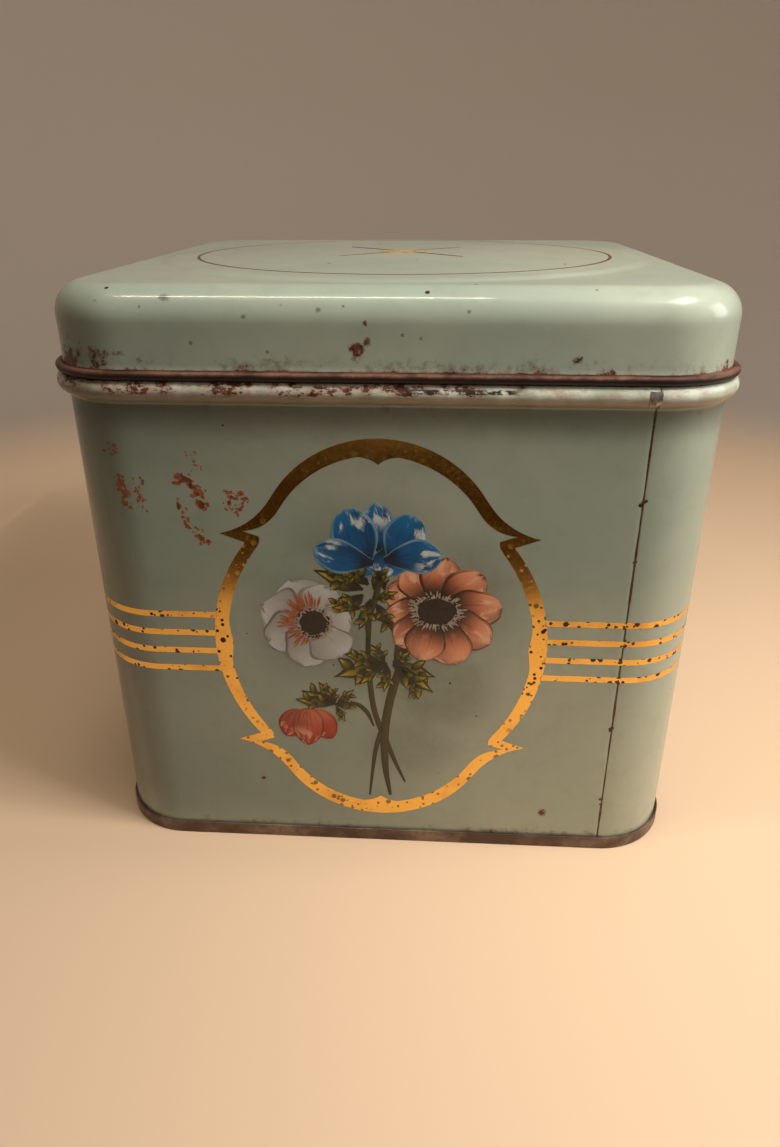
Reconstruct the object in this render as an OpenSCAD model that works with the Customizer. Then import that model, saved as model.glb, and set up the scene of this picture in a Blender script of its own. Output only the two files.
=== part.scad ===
// Square tinplate bread tin with a lift-off slip lid.
// Millimetres, +Z up. The origin is in the middle of the surface that the tin stands on,
// and the decorated front with the visible side seam faces -Y.

/* [Body] */
// Outside width and depth of the square body wall
body_w = 235; // [200:1:280]
// Outside radius of the four upright corners
corner_r = 28.6; // [22:0.1:29]
// Thickness of the tinplate
sheet_t = 0.4; // [0.3:0.05:0.45]
// Height of the middle of the stop bead that carries the lid
bead_z = 192.2; // [120:0.1:260]
// Radius of the half-round stop bead
bead_r = 3.8; // [3:0.1:4.5]
// Height of the neck above the middle of the bead
neck_h = 20; // [14:0.5:21]
// Height of the hem folded down inside the neck's mouth
neck_hem_h = 3; // [2:0.1:5]

/* [Side seams] */
// Distance of each side seam from the start of the corner beside it
seam_inset = 0.9; // [0.8:0.1:30]
// Width of the locked hooks of a side seam
lock_w = 4.6; // [3:0.1:7]
// Width of the solder strip laid over the joint in the neck
solder_w = 7; // [5:0.5:12]
// Width of the solder patch on the outside of the bead
patch_w = 4; // [3:0.5:8]

/* [Base] */
// Height of the double seam round the foot
foot_h = 5.5; // [5:0.1:7]
// Height of the sunk base panel's underside
panel_z = 4.2; // [3.2:0.1:4.2]
// Distance from the wall to the stamped step in the base panel
step_inset = 24; // [15:1:40]
// Rise of the stamped step
step_rise = 1.2; // [0.8:0.1:1.6]

/* [Lid] */
// Height of the lid's flat margin above the middle of the bead
lid_h = 33.1; // [31.5:0.1:50]
// Radius of the drawn shoulder between skirt and top
shoulder_r = 11; // [8:0.5:11]
// Clearance between the neck and the lid's skirt
lid_gap = 0.4; // [0.3:0.05:0.6]
// Radius of the steel wire in the lid's rolled edge
wire_r = 1.15; // [0.9:0.05:1.3]
// Distance from the line of the wall to the raised round panel in the lid's top
disc_inset = 15.5; // [15:0.5:40]
// Height of the step up to the raised panel
disc_rise = 0.8; // [0.4:0.1:1.5]
// Extra height of the panel's middle
crown_h = 1.4; // [0.4:0.1:3]

/* [Hidden] */
$fn = 96;

paint_green = [0.52, 0.54, 0.45];
bare_tinplate = [0.55, 0.54, 0.52];
worn_steel = [0.30, 0.24, 0.20];
solder_grey = [0.66, 0.66, 0.66];

half_w = body_w / 2;
flat_half = half_w - corner_r;        // from the middle of a face to the start of its corner
seam_x = flat_half - seam_inset;      // from the middle of a face to its side seam
fold_gap = 0.03;                      // air left between layers of folded tinplate
layer = sheet_t + fold_gap;           // pitch of the folded layers
fold_r = 0.55;                        // outside radius of the tight folds
eps = 0.01;                           // overlap that joins shapes of one solid

neck_z = bead_z + neck_h;             // rim of the neck
bead_fillet = 1.6;                    // radius between the bead and the wall below it
bead_foot = sqrt(pow(bead_r + bead_fillet, 2) - pow(bead_fillet, 2));
bead_cut = 0.35;                      // the bead's ring starts this far above its lowest point
run_out_w = 0.7 * bead_fillet;        // width of the concave run-out under the bead
run_out_past = 0.25;                  // overlap of the run-out with the bead's ring
hook_top = foot_h - sheet_t - 0.6;    // top of the body hook inside the double seam
leg_z = 2 * layer + 0.7;              // lower end of the panel's leg against the wall
rim_fold_h = 2;                       // height of the fold over the top of the double seam
rim_lap = 1;                          // overlap of that fold with the one below it
lock_z0 = foot_h + 0.4;               // the locked side seam starts just above the foot
lock_z1 = bead_z - bead_foot - 0.5;   // and stops just under the bead
solder_past = 0.7;                    // reach of the solder past the joint, towards the corner
solder_t = 0.3;                       // thickness of the strip in the neck
patch_t = 0.16;                       // thickness of the patch on the bead
patch_x = 2.2;                        // the patch keeps to the bead's outer part
fillet_w = 1.8;                       // width of the solder fillet along the lock

roll_r = wire_r + sheet_t;            // outside radius of the lid's rolled edge
roll_x = lid_gap + sheet_t + wire_r;  // its centre, out from the wall
rest_gap = 0.15;                      // air between the rolled edge and the bead
roll_z = bead_z + sqrt(pow(bead_r + roll_r + rest_gap, 2) - pow(roll_x, 2));
skirt_out = lid_gap + sheet_t;        // outside of the lid's skirt, out from the wall
lid_top_z = bead_z + lid_h;           // height of the lid's flat margin
disc_r = half_w - disc_inset;         // radius of the raised panel
dome_steps = 6;                       // rings of the panel's crown
step_w = 7;                           // width of the slope up to the raised panel
step_corner_r = corner_r - 4;         // corner radius of the base panel's stamped step
plate_lap = 0.5;                      // overlap of the lid's flat margin with what it joins
strip_gap = 0.2;                      // air between the solder strip and the neck's hem

// ---------------------------------------------------------------- flat profiles
// In a profile, x is the distance out from the wall's outer surface and y is the height.

module slab(x0, x1, y0, y1) {
    translate([x0, y0])
        square([x1 - x0, y1 - y0]);
}

// A slab whose two lower corners are round
module tongue(x0, x1, y0, y1, r) {
    slab(x0, x1, y0 + r, y1);
    slab(x0 + r, x1 - r, y0, y0 + r + eps);
    for (x = [x0 + r, x1 - r])
        translate([x, y0 + r])
            circle(r);
}

// Tinplate folded to a U that is open at the top
module fold_up(x0, x1, y0, y1) {
    difference() {
        tongue(x0, x1, y0, y1, fold_r);
        tongue(x0 + sheet_t, x1 - sheet_t, y0 + sheet_t, y1 + 1, fold_r - sheet_t);
    }
}

// The same fold open at the bottom
module fold_down(x0, x1, y0, y1) {
    translate([0, y0 + y1])
        mirror([0, 1])
            fold_up(x0, x1, y0, y1);
}

module ring(r_out, r_in) {
    difference() {
        circle(r_out);
        circle(r_in);
    }
}

// The stop bead: a half ring with a concave run-out into the wall below
module bead_profile() {
    intersection() {
        translate([0, bead_z])
            ring(bead_r, bead_r - sheet_t);
        slab(-sheet_t, bead_r + 1, bead_z - bead_r + bead_cut, bead_z + bead_r);
    }
    intersection() {
        translate([bead_fillet, bead_z - bead_foot])
            ring(bead_fillet + sheet_t, bead_fillet);
        slab(-sheet_t, run_out_w, bead_z - bead_foot, bead_z - bead_r + bead_cut + run_out_past);
    }
}

// One wall sheet from the body hook in the foot up to the hem in the neck
module wall_profile() {
    fold_up(-sheet_t, 2 * layer, layer, hook_top);
    slab(-sheet_t, 0, hook_top - eps, bead_z - bead_foot);
    bead_profile();
    slab(-sheet_t, 0, bead_z + bead_r - sheet_t, neck_z - neck_hem_h + eps);
    fold_down(-3 * sheet_t, 0, neck_z - neck_hem_h, neck_z);
}

// The base panel's rim, folded round the wall sheet's hook
module foot_profile() {
    outer = 3 * layer;
    inner = -sheet_t - layer;
    difference() {
        fold_up(inner, outer, 0, foot_h - rim_fold_h + rim_lap);
        slab(inner - 1, inner + sheet_t + eps, panel_z + sheet_t, foot_h);
    }
    fold_down(fold_gap, outer, foot_h - rim_fold_h, foot_h);
    slab(fold_gap, fold_gap + sheet_t, leg_z, foot_h - rim_fold_h + rim_lap);
}

module lid_profile() {
    slab(lid_gap, skirt_out, roll_z, lid_top_z - shoulder_r);
    intersection() {
        translate([skirt_out - shoulder_r, lid_top_z - shoulder_r])
            ring(shoulder_r, shoulder_r - sheet_t);
        slab(skirt_out - shoulder_r, skirt_out, lid_top_z - shoulder_r, lid_top_z);
    }
    slab(skirt_out - shoulder_r - 1, skirt_out - shoulder_r, lid_top_z - sheet_t, lid_top_z);
    difference() {
        translate([roll_x, roll_z])
            ring(roll_r, wire_r + fold_gap);
        slab(skirt_out, skirt_out + 0.5, roll_z, roll_z + roll_r + 1);
    }
}

module wire_profile() {
    translate([roll_x, roll_z])
        circle(wire_r);
}

// ---------------------------------------------------------------- sweeps round the square

// Places a shape, made for the front face, on face number n counted anticlockwise from above
module on_face(n) {
    rotate([0, 0, 90 * n])
        children();
}

// A profile along the front face, from x0 to x1
module along_front(x0, x1) {
    translate([x0, -flat_half, 0])
        rotate([90, 0, 90])
            linear_extrude(height = x1 - x0)
                mirror([1, 0])
                    translate([corner_r, 0])
                        children();
}

// A profile round the corner at the right-hand end of the front face
module round_corner() {
    translate([flat_half, -flat_half, 0])
        rotate([0, 0, -90])
            rotate_extrude(angle = 90)
                translate([corner_r, 0])
                    children();
}

module all_round() {
    for (n = [0 : 3])
        on_face(n) {
            along_front(-flat_half, flat_half)
                children();
            round_corner()
                children();
        }
}

// Rounded square of half width h in plan, for the base panel and the lid's top
module plan_square(h, r) {
    for (turn = [0, 90])
        rotate([0, 0, turn])
            square([2 * h, 2 * (h - r)], center = true);
    for (x = [r - h, h - r], y = [r - h, h - r])
        translate([x, y])
            circle(r);
}

// ---------------------------------------------------------------- side seam hooks
// Plan view of the joint: x runs along the front face from the seam, y goes inwards.

// Hook of the sheet that ends at the seam
module ending_hook() {
    slab(-lock_w, 0, 0, sheet_t);
    slab(-sheet_t, 0, 0, 2 * layer + sheet_t);
    slab(-lock_w, 0, 2 * layer, 2 * layer + sheet_t);
}

// Hook of the sheet that starts at the seam, stepped inwards under the other
module starting_hook() {
    fold_x = -lock_w - fold_gap - sheet_t;
    slab(fold_gap, layer, 0, 3 * layer + sheet_t);
    slab(fold_x, layer, 3 * layer, 3 * layer + sheet_t);
    slab(fold_x, fold_x + sheet_t, layer, 3 * layer + sheet_t);
    slab(fold_x, -sheet_t - fold_gap, layer, layer + sheet_t);
}

module at_seam(z0, z1) {
    translate([seam_x, -half_w, z0])
        linear_extrude(height = z1 - z0)
            children();
}

// One wall sheet: from its start on the front face, round the right-hand side, to its end
// on the back face
module wall_sheet() {
    along_front(seam_x + fold_gap, flat_half)
        wall_profile();
    round_corner()
        wall_profile();
    on_face(1) {
        along_front(-flat_half, flat_half)
            wall_profile();
        round_corner()
            wall_profile();
    }
    on_face(2) {
        along_front(-flat_half, seam_x)
            wall_profile();
        at_seam(lock_z0, lock_z1)
            ending_hook();
    }
    at_seam(lock_z0, lock_z1)
        starting_hook();
}

// Solder of one side seam: a fillet along the lock, a strip in the neck and a patch on the bead
module seam_solder() {
    fillet_x = -lock_w - sheet_t - 2 * fold_gap;
    at_seam(lock_z0, lock_z1)
        polygon([[fillet_x, layer], [fillet_x, 3 * layer + sheet_t], [fillet_x - fillet_w, layer]]);
    at_seam(bead_z + bead_r, neck_z - neck_hem_h - strip_gap)
        slab(solder_past - solder_w, solder_past, layer, layer + solder_t);
    along_front(seam_x + solder_past - patch_w, seam_x + solder_past)
        intersection() {
            translate([0, bead_z])
                ring(bead_r + fold_gap + patch_t, bead_r + fold_gap);
            slab(patch_x, bead_r + 1, bead_z - patch_x, bead_z + patch_x);
        }
}

// ---------------------------------------------------------------- parts

module right_wall_sheet() {
    color(paint_green)
        wall_sheet();
}

module left_wall_sheet() {
    color(paint_green)
        rotate([0, 0, 180])
            wall_sheet();
}

module base_panel() {
    plate_h = half_w - layer - sheet_t / 2;
    step_h = half_w - step_inset;
    color(worn_steel) {
        all_round()
            foot_profile();
        difference() {
            translate([0, 0, panel_z])
                linear_extrude(height = sheet_t)
                    plan_square(plate_h, plate_h - flat_half);
            translate([0, 0, panel_z - 1])
                linear_extrude(height = 3)
                    plan_square(step_h - sheet_t, step_corner_r);
        }
        translate([0, 0, panel_z])
            linear_extrude(height = step_rise + sheet_t)
                difference() {
                    plan_square(step_h, step_corner_r + sheet_t);
                    plan_square(step_h - sheet_t, step_corner_r);
                }
        translate([0, 0, panel_z + step_rise])
            linear_extrude(height = sheet_t)
                plan_square(step_h - sheet_t + eps, step_corner_r);
    }
}

module front_seam_solder() {
    color(solder_grey)
        seam_solder();
}

module back_seam_solder() {
    color(solder_grey)
        rotate([0, 0, 180])
            seam_solder();
}

// Height of the raised panel above the margin at radius r
function panel_rise(r) =
    r >= disc_r + step_w / 2 ? 0 :
    r >= disc_r - step_w / 2 ? disc_rise * (disc_r + step_w / 2 - r) / step_w :
    disc_rise + crown_h * (1 - pow(r / (disc_r - step_w / 2), 2));

module raised_panel() {
    in_r = disc_r - step_w / 2;
    radii = concat([disc_r + step_w / 2 + 1], [disc_r + step_w / 2],
        [for (i = [0 : dome_steps]) in_r * (1 - i / dome_steps)]);
    top = [for (r = radii) [r, lid_top_z + panel_rise(r)]];
    under = [for (i = [len(radii) - 1 : -1 : 0])
        [radii[i], lid_top_z - sheet_t + panel_rise(radii[i])]];
    rotate_extrude()
        polygon(concat(top, under));
}

module lid_shell() {
    margin_h = half_w + skirt_out - shoulder_r;
    color(paint_green) {
        all_round()
            lid_profile();
        difference() {
            translate([0, 0, lid_top_z - sheet_t])
                linear_extrude(height = sheet_t)
                    plan_square(margin_h - plate_lap, margin_h - plate_lap - flat_half);
            translate([0, 0, lid_top_z - 1])
                cylinder(h = 2, r = disc_r + step_w / 2 + plate_lap);
        }
        raised_panel();
    }
}

module lid_edge_wire() {
    color(worn_steel)
        all_round()
            wire_profile();
}

left_wall_sheet();
right_wall_sheet();
base_panel();
front_seam_solder();
back_seam_solder();
lid_shell();
lid_edge_wire();
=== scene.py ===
# A printed tinplate bread tin: finer skins, printing and wear over the CAD, and a studio.
import math
import random

import bpy
import numpy as np
from mathutils import Matrix, Vector


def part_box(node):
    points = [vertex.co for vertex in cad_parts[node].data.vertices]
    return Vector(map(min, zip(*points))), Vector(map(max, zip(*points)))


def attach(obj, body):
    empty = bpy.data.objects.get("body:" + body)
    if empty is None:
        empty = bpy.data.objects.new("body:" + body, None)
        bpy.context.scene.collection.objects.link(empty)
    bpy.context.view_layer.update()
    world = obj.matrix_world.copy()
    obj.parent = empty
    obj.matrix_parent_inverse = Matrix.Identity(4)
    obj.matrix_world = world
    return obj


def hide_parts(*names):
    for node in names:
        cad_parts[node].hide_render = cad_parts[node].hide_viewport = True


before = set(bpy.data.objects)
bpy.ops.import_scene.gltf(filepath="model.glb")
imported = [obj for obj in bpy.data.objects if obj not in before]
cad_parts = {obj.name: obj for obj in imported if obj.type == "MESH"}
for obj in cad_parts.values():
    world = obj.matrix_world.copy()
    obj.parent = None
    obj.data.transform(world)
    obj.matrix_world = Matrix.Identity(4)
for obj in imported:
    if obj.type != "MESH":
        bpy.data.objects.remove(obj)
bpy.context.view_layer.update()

# ---------------------------------------------------------------- sizes, in millimetres
# The printed tin's own sizes come from the frame where a node's box gives them.

MM = 0.001


def box_mm(node):
    """Lowest and highest corner of a CAD node, in millimetres."""
    low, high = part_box(node)
    return low / MM, high / MM


SHEET_T = 0.4                     # tinplate
FOLD_GAP = 0.03                   # air between folded layers
LAYER = SHEET_T + FOLD_GAP
CORNER_R = 28.6                   # outside radius of the body's corners
FOOT_H = 5.5                      # height of the double seam round the foot
FOLD_R = 0.55                     # outside radius of the tight folds
PANEL_Z = 4.2                     # underside of the base panel
STEP_INSET = 24                   # its stamped step, in from the wall
STEP_RISE = 1.2
STEP_CORNER_R = 24.6
BEAD_R = 3.8
BEAD_FILLET = 1.6                 # radius between the bead and the wall below it
NECK_H = 20
HEM_H = 3
SHOULDER_R = 11                   # the lid's rounded shoulder
LID_GAP = 0.4                     # air between skirt and neck
DISC_R = 102                      # the lid's raised disc
STEP_W = 7                        # width of the slope up to it
DISC_RISE = 0.8

wire_low, wire_high = box_mm("lid_edge_wire")

HALF_W = box_mm("base_panel")[1].x - 3 * LAYER
FLAT_HALF = HALF_W - CORNER_R
CORNER_RUN = CORNER_R * math.pi / 2           # way round one corner
QUARTER = 2 * FLAT_HALF + CORNER_RUN          # and round a quarter of the tin
NECK_Z = box_mm("right_wall_sheet")[1].z
BEAD_Z = NECK_Z - NECK_H
BEAD_FOOT = math.sqrt((BEAD_R + BEAD_FILLET) ** 2 - BEAD_FILLET ** 2)
SOLDER_PAST = 0.7                 # reach of the solder past the joint
SEAM_X = box_mm("front_seam_solder")[1].x - SOLDER_PAST
WIRE_R = (wire_high.z - wire_low.z) / 2
ROLL_R = WIRE_R + SHEET_T
ROLL_X = wire_high.x - WIRE_R - HALF_W
ROLL_Z = (wire_high.z + wire_low.z) / 2
SKIRT_OUT = LID_GAP + SHEET_T
CROWN_H = 1.4                     # rise of the lid's disc towards its middle
LID_TOP_Z = box_mm("lid_shell")[1].z - DISC_RISE - CROWN_H

FLAT_STEPS = 60                   # mesh columns along each flat side
CORNER_STEPS = 18                 # and round each corner
CLOSEST = 0.05                    # least distance between mesh columns
PANEL_WAVE = 0.32                 # how far the thin flat panels sink in

# ---------------------------------------------------------------- colours


def srgb(red, green, blue):
    """A display colour, 0 to 255, as the linear colour that the shader takes."""
    def linear(c):
        c /= 255
        return c / 12.92 if c <= 0.04045 else ((c + 0.055) / 1.055) ** 2.4
    return (linear(red), linear(green), linear(blue), 1.0)


PAINT = srgb(154, 166, 150)
PAINT_PALE = srgb(172, 179, 160)
PAINT_DULL = srgb(118, 126, 104)
# airbrushed haze of the print round the bouquet, and also the painted shade under the bead
PRINT_HAZE_AND_SHADE = srgb(54, 54, 44)
RUST_DARK = srgb(52, 26, 15)
RUST = srgb(102, 55, 34)
RUST_BRIGHT = srgb(154, 90, 62)
SPECK = srgb(48, 42, 32)
STAIN = srgb(104, 82, 58)
GOLD = srgb(246, 196, 104)
GOLD_WORN = srgb(214, 158, 86)
TIN = srgb(168, 164, 154)
TIN_STAIN = srgb(112, 96, 76)
STEEL = srgb(120, 112, 104)
FOOT_GREY = srgb(132, 114, 98)
FOOT_DARK = srgb(84, 64, 52)
BEAD_HIGHLIGHT_CREAM = srgb(214, 217, 202)
SOLDER = srgb(172, 170, 164)
FLOOR = srgb(236, 205, 172)
BACKDROP = srgb(198, 186, 174)
ROLL_RUBBED = srgb(126, 88, 74)
ROLL_WORN = srgb(74, 46, 36)
ROLL_UNDERSIDE_SHADE = srgb(32, 18, 13)
BEAD_UNDERSIDE_SHADE = srgb(138, 116, 88)
BEAD_HALO = srgb(168, 128, 104)
BEAD_SCRAPE = srgb(50, 42, 36)
GAP_SHADE = srgb(40, 26, 18)
SOLDER_DARK = srgb(96, 86, 74)
FLAG_DARK = srgb(44, 30, 20)
ROOM_AIR = srgb(206, 200, 190)

# ---------------------------------------------------------------- node trees


class Look:
    """A material, with short calls for the nodes that the looks are made of."""

    def __init__(self, name):
        self.material = bpy.data.materials.new(name)
        self.material.use_nodes = True
        self.tree = self.material.node_tree
        self.shader = self.tree.nodes["Principled BSDF"]
        self.place = self.tree.nodes.new("ShaderNodeTexCoord").outputs["Object"]

    def put(self, socket, value):
        if isinstance(value, bpy.types.NodeSocket):
            self.tree.links.new(value, socket)
        else:
            socket.default_value = value

    def new(self, kind, inputs, output=0, **settings):
        made = self.tree.nodes.new("ShaderNode" + kind)
        for key, value in settings.items():
            setattr(made, key, value)
        for key, value in inputs.items():
            self.put(made.inputs[key], value)
        return made.outputs[output]

    def surface(self, **values):
        """Sets the shader's own sockets; an underscore in a name stands for a space."""
        for key, value in values.items():
            self.put(self.shader.inputs[key.replace("_", " ")], value)

    def noise(self, size_mm, detail=4, roughness=0.55, place=None):
        return self.new("TexNoise", {
            "Vector": place or self.place, "Scale": 1 / (size_mm * MM), "Detail": detail,
            "Roughness": roughness})

    def stretched(self, x, y, z):
        return self.new("VectorMath", {0: self.place, 1: (x, y, z)}, operation="MULTIPLY")

    def times(self, a, b, clamp=False):
        return self.new("Math", {0: a, 1: b}, operation="MULTIPLY", use_clamp=clamp)

    def plus(self, a, b):
        return self.new("Math", {0: a, 1: b}, operation="ADD")

    def minus(self, a, b):
        return self.new("Math", {0: a, 1: b}, operation="SUBTRACT")

    def larger(self, a, b):
        return self.new("Math", {0: a, 1: b}, operation="MAXIMUM")

    def unsigned(self, a):
        return self.new("Math", {0: a}, operation="ABSOLUTE")

    def height_mm(self):
        return self.new("Math", {0: self.xyz()[2], 1: MM}, operation="DIVIDE")

    def fade(self, value, low, high):
        """0 below low and 1 above high, smoothly; low may be above high."""
        flip = float(low > high)
        return self.new("MapRange", {
            "Value": value, "From Min": min(low, high), "From Max": max(low, high),
            "To Min": flip, "To Max": 1 - flip}, interpolation_type="SMOOTHSTEP")

    def mix(self, amount, a, b):
        return self.new("Mix", {0: amount, 6: a, 7: b}, output=2, data_type="RGBA")

    def blend(self, amount, a, b):
        """A number between a and b."""
        return self.new("Mix", {0: amount, 2: a, 3: b}, output=0, data_type="FLOAT")

    def xyz(self, vector=None):
        made = self.tree.nodes.new("ShaderNodeSeparateXYZ")
        self.put(made.inputs[0], vector or self.place)
        return made.outputs

    def attribute(self, name, output="Fac"):
        made = self.tree.nodes.new("ShaderNodeAttribute")
        made.attribute_name = name
        return made.outputs[output]

    def bump(self, height, distance_mm, strength):
        self.put(self.shader.inputs["Normal"], self.new("Bump", {
            "Height": height, "Distance": distance_mm * MM, "Strength": strength}))

    def specks(self, cell_mm, share, radius):
        """Small ragged spots in a share of the cells, of up to that radius, in cells."""
        cells = self.tree.nodes.new("ShaderNodeTexVoronoi")
        self.put(cells.inputs["Vector"], self.place)
        self.put(cells.inputs["Scale"], 1 / (cell_mm * MM))
        chance = self.xyz(cells.outputs["Color"])[0]
        size = self.times(self.fade(chance, 1 - share, 1 - share * 0.3), radius)
        ragged = self.times(self.noise(cell_mm * 0.12, 2), radius * 0.7)
        reach = self.plus(cells.outputs["Distance"], radius * 0.35)
        edge = self.minus(self.plus(size, ragged), reach)
        there = self.fade(chance, 1 - share, 1 - share * 0.8)
        return self.times(self.fade(edge, 0.0, radius * 0.25), there)

    def spots(self, places):
        """Ragged spots at (x, y, z, radius) in millimetres."""
        total = 0.0
        warp = self.noise(4.5, 5, 0.65)
        for x, y, z, radius in places:
            away = self.new("VectorMath", {0: self.place, 1: (x * MM, y * MM, z * MM)},
                            output="Value", operation="DISTANCE")
            ragged = self.times(self.minus(warp, 0.5), radius * MM * 2.4)
            spot = self.fade(self.plus(away, ragged), radius * MM, radius * MM * 0.2)
            total = self.larger(total, spot)
        return total

    def rust_colour(self):
        """Rust of three tones."""
        tone = self.noise(2.2, 6, 0.7)
        dark = self.mix(self.fade(tone, 0.36, 0.54), RUST_DARK, RUST)
        return self.mix(self.fade(tone, 0.55, 0.72), dark, RUST_BRIGHT)


def painted_look(name, rust_lines, rust_spots, speckle=1.0, flecks=()):
    """Printed enamel on tinplate, rusting along lines and in spots, with dark specks.

    rust_lines is a list of (height, reach, amount): the rust fades over reach, in
    millimetres, above (or below, if negative) the height. speckle scales the specks that
    are spread evenly, and flecks gives places for more of them."""
    look = Look(name)
    height = look.height_mm()
    broad = look.fade(look.noise(90, 3), 0.35, 0.7)
    colour = look.mix(broad, PAINT, PAINT_PALE)
    dull = look.fade(look.noise(9, 6, 0.65), 0.45, 0.8)
    colour = look.mix(look.times(dull, 0.22), colour, PAINT_DULL)
    # painted shade: the wall is darker for about 16 mm under the bead, where the bead's shadow falls
    uneven = look.plus(height, look.times(look.noise(25, 3), 6))
    shade_under_bead = look.times(look.fade(uneven, BEAD_Z - 16, BEAD_Z - 4),
                           look.fade(height, BEAD_Z + 4, BEAD_Z))
    colour = look.mix(look.times(shade_under_bead, 0.5), colour, PRINT_HAZE_AND_SHADE)
    cloudy = look.blend(look.noise(5, 5, 0.7), 0.45, 1.3)
    airbrushed = look.times(look.attribute("haze"), cloudy, clamp=True)
    colour = look.mix(airbrushed, colour, PRINT_HAZE_AND_SHADE)

    wanted = look.times(look.fade(look.noise(38, 2), 0.5, 0.78), 0.10)
    for line, reach, amount in rust_lines:
        near = look.fade(height, line + reach, line)
        patchy = look.blend(look.fade(look.noise(22, 3), 0.38, 0.66), amount * 0.45, amount)
        wanted = look.larger(wanted, look.times(near, patchy))
    wanted = look.larger(wanted, look.times(look.spots(rust_spots), 0.56))
    edge = look.minus(look.plus(look.noise(3.2, 7, 0.68), wanted), 0.92)
    rust = look.fade(edge, 0.0, 0.09)
    stain = look.times(look.fade(edge, -0.24, 0.02), 0.6)
    specks = look.larger(look.specks(13, 0.3, 0.055 * speckle),
                         look.specks(7, 0.12, 0.06 * speckle))
    if flecks:
        specks = look.larger(specks, look.times(look.spots(flecks), 0.62))
    colour = look.mix(stain, colour, STAIN)
    colour = look.mix(specks, colour, SPECK)
    colour = look.mix(rust, colour, look.rust_colour())
    worn = look.larger(rust, specks)
    gloss = look.blend(look.noise(14, 5, 0.6), 0.26, 0.44)
    look.surface(Base_Color=colour, Roughness=look.blend(worn, gloss, 0.85),
                 Coat_Weight=0.5, Coat_Roughness=0.07, IOR=1.5)
    relief = look.plus(look.times(look.noise(1.3, 3), 0.06),
                       look.times(worn, look.noise(0.8, 4, 0.7)))
    look.bump(relief, 0.12, 0.6)
    return look.material


def roll_look(name):
    """The lid's rolled edge: rubbed pink-brown on top, black underneath with painted shade."""
    look = Look(name)
    height = look.height_mm()
    along = look.noise(12, 5, 0.65)
    grain = look.noise(1.4, 6, 0.7)
    rubbed = look.mix(look.fade(along, 0.38, 0.62), ROLL_RUBBED, ROLL_WORN)
    colour = look.mix(look.fade(grain, 0.5, 0.7), rubbed, RUST)
    # painted shade: the roll goes black towards its underside
    lower = look.minus(height, look.times(along, 0.8))
    colour = look.mix(look.fade(lower, ROLL_Z + 1.1, ROLL_Z - 0.5), colour, ROLL_UNDERSIDE_SHADE)
    look.surface(Base_Color=colour, Metallic=0.25, Roughness=look.blend(grain, 0.34, 0.62))
    look.bump(look.plus(grain, along), 0.15, 0.6)
    return look.material


def tin_look(name):
    """Bare tinplate inside the tin: dull, streaked and stained, with a little rust."""
    look = Look(name)
    streaks = look.noise(6, 5, 0.6, look.stretched(1, 1, 0.12))
    stains = look.fade(look.noise(30, 5, 0.65), 0.48, 0.68)
    colour = look.mix(look.fade(streaks, 0.3, 0.75), TIN, STEEL)
    colour = look.mix(look.times(stains, 0.6), colour, TIN_STAIN)
    rust = look.fade(look.noise(4, 7, 0.7), 0.66, 0.74)
    colour = look.mix(rust, colour, look.rust_colour())
    look.surface(Base_Color=colour, Metallic=look.blend(rust, 0.85, 0.1),
                 Roughness=look.blend(rust, look.blend(streaks, 0.3, 0.55), 0.85))
    look.bump(look.noise(1.5, 4), 0.05, 0.5)
    return look.material


def foot_look(name):
    """The bare, browned and rusting double seam round the foot."""
    look = Look(name)
    along = look.noise(16, 5, 0.6)
    grain = look.noise(1.6, 6, 0.7)
    colour = look.mix(look.fade(along, 0.35, 0.65), FOOT_DARK, FOOT_GREY)
    colour = look.mix(look.times(look.fade(grain, 0.42, 0.7), 0.5), colour, FOOT_DARK)
    rust = look.fade(look.plus(grain, look.times(along, 0.6)), 0.98, 1.10)
    colour = look.mix(rust, colour, look.rust_colour())
    look.surface(Base_Color=colour, Metallic=look.blend(rust, 0.45, 0.05),
                 Roughness=look.blend(rust, look.blend(grain, 0.28, 0.5), 0.8))
    look.bump(look.plus(look.times(rust, grain), along), 0.15, 0.6)
    return look.material


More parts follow.
